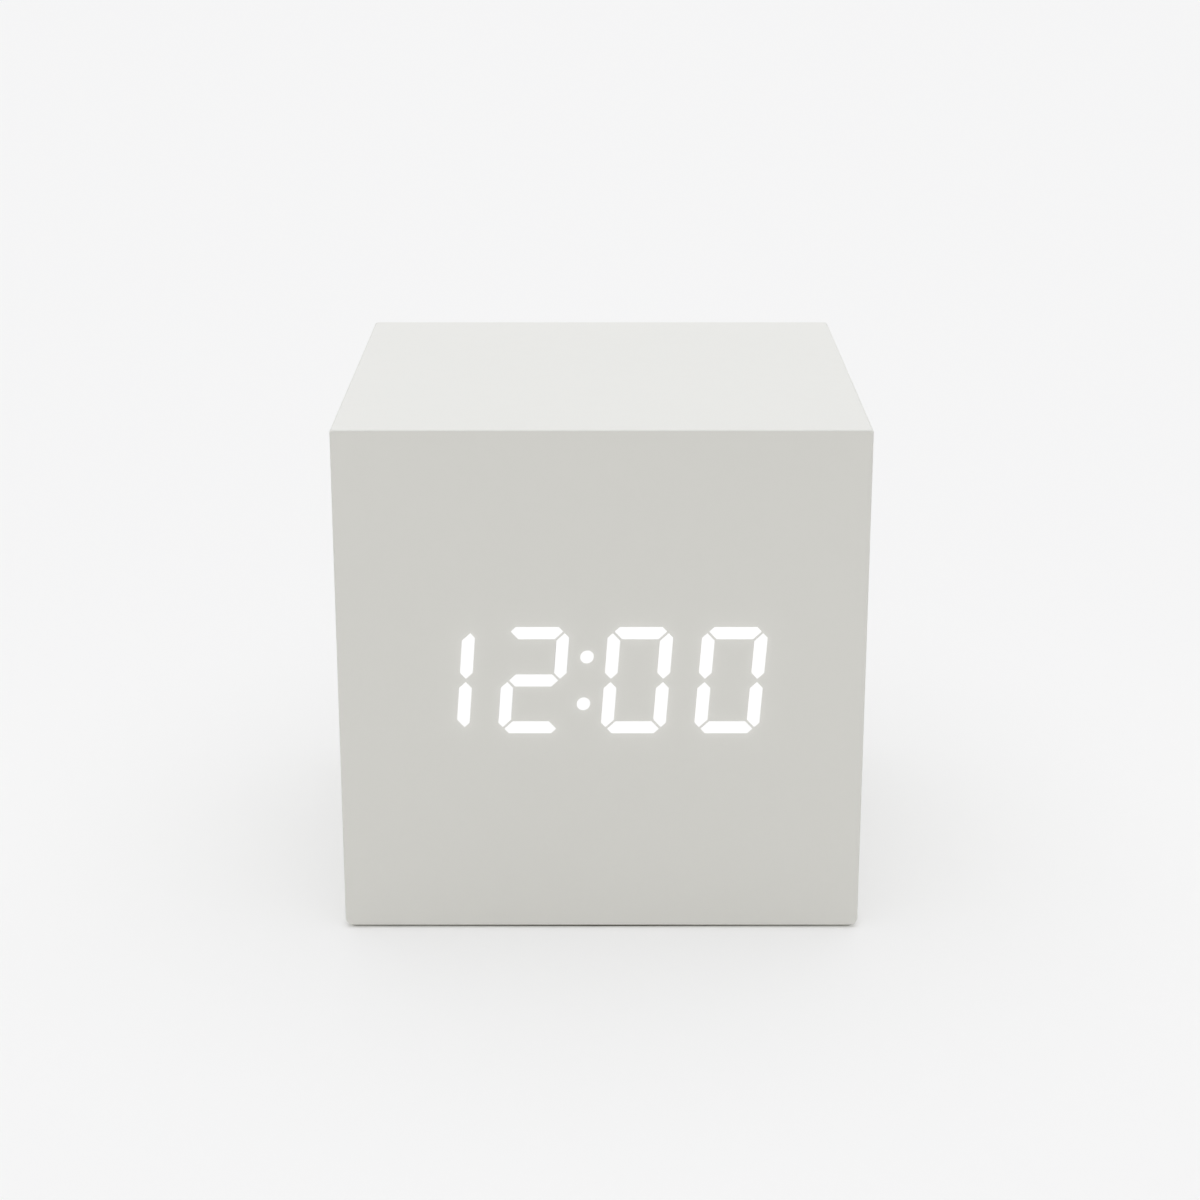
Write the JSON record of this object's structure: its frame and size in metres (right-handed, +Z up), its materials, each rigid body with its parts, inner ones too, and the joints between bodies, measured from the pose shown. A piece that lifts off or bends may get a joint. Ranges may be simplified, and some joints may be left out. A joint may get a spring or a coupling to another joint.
{
  "type": "cube alarm clock",
  "caption": "Small painted cube alarm clock with glowing digits behind its front skin, buttons and power inlet on the back and a battery bay with a hinged door underneath.",
  "frame": {"origin": "on the table, under the middle of the case", "axes": "+X to the right seen from the front, +Y from the front to the back, +Z up"},
  "size_m": [0.068, 0.068, 0.068],
  "materials": {
    "case_paint": "smooth off-white paint on fibreboard, satin",
    "foot_rubber": "matt",
    "lit_digits": "clear plastic, lit white",
    "white_plastic": "moulded, satin",
    "circuit_board": "green solder mask, satin",
    "steel": "plated",
    "ribbon_grey": "matt",
    "panel_plastic": "fine moulded texture",
    "button_plastic": "moulded, satin",
    "bare_wood": "bare",
    "black_plastic": "moulded, satin",
    "cell_wrap": "printed foil wrap",
    "red_wire": "insulation",
    "black_wire": "insulation"
  },
  "bodies": {
    "clock_body": {"case_shell": "case_paint", "front_skin": "case_paint", "foot_1": "foot_rubber", "foot_2": "foot_rubber", "foot_3": "foot_rubber", "foot_4": "foot_rubber", "digit_1_light_guide": "lit_digits", "digit_2_light_guide": "lit_digits", "digit_3_light_guide": "lit_digits", "digit_4_light_guide": "lit_digits", "colon_light_guide": "lit_digits", "led_reflector": "white_plastic", "display_board": "circuit_board", "display_board_screw_1": "steel", "display_board_screw_2": "steel", "display_board_screw_3": "steel", "display_board_screw_4": "steel", "display_connector": "white_plastic", "control_connector": "white_plastic", "display_ribbon": "ribbon_grey", "rear_panel": "panel_plastic", "rear_panel_screw_1": "steel", "rear_panel_screw_2": "steel", "rear_panel_screw_3": "steel", "rear_panel_screw_4": "steel", "corner_block_1": "bare_wood", "corner_block_2": "bare_wood", "corner_block_3": "bare_wood", "corner_block_4": "bare_wood", "control_board": "circuit_board", "up_switch": "black_plastic", "down_switch": "black_plastic", "set_switch": "black_plastic", "alarm_switch_housing": "steel", "power_inlet": "steel", "buzzer": "black_plastic", "microphone": "steel", "clock_chip": "black_plastic", "clock_crystal": "steel", "battery_tray": "black_plastic", "battery_1": "cell_wrap", "battery_2": "cell_wrap", "battery_3": "cell_wrap", "battery_4": "cell_wrap", "battery_terminal_positive": "steel", "battery_terminal_negative": "steel", "battery_bridge_1": "steel", "battery_bridge_2": "steel", "battery_bridge_3": "steel", "battery_lead_positive": "red_wire", "battery_lead_negative": "black_wire"},
    "up_key": {"up_button": "button_plastic", "up_plunger": "black_plastic"},
    "down_key": {"down_button": "button_plastic", "down_plunger": "black_plastic"},
    "set_key": {"set_button": "button_plastic", "set_plunger": "black_plastic"},
    "alarm_slider": {"alarm_switch_knob": "black_plastic"},
    "battery_cover": {"battery_door": "black_plastic"}
  },
  "joints": [
    {"name": "up_press", "type": "slide", "parent": "clock_body", "child": "up_key", "axis": [0, -1, 0], "range_m": [0, 0.0005], "stiffness_N_per_m": 200, "springref_m": -0.002},
    {"name": "down_press", "type": "slide", "parent": "clock_body", "child": "down_key", "axis": [0, -1, 0], "range_m": [0, 0.0005], "stiffness_N_per_m": 200, "springref_m": -0.002},
    {"name": "set_press", "type": "slide", "parent": "clock_body", "child": "set_key", "axis": [0, -1, 0], "range_m": [0, 0.0005], "stiffness_N_per_m": 200, "springref_m": -0.002},
    {"name": "alarm_slide", "type": "slide", "parent": "clock_body", "child": "alarm_slider", "axis": [1, 0, 0], "range_m": [0, 0.003]},
    {"name": "battery_door_hinge", "type": "hinge", "parent": "clock_body", "child": "battery_cover", "pos_m": [0, -0.022, 0.0003], "axis": [-1, 0, 0], "range_deg": [0, 78]}
  ]
}
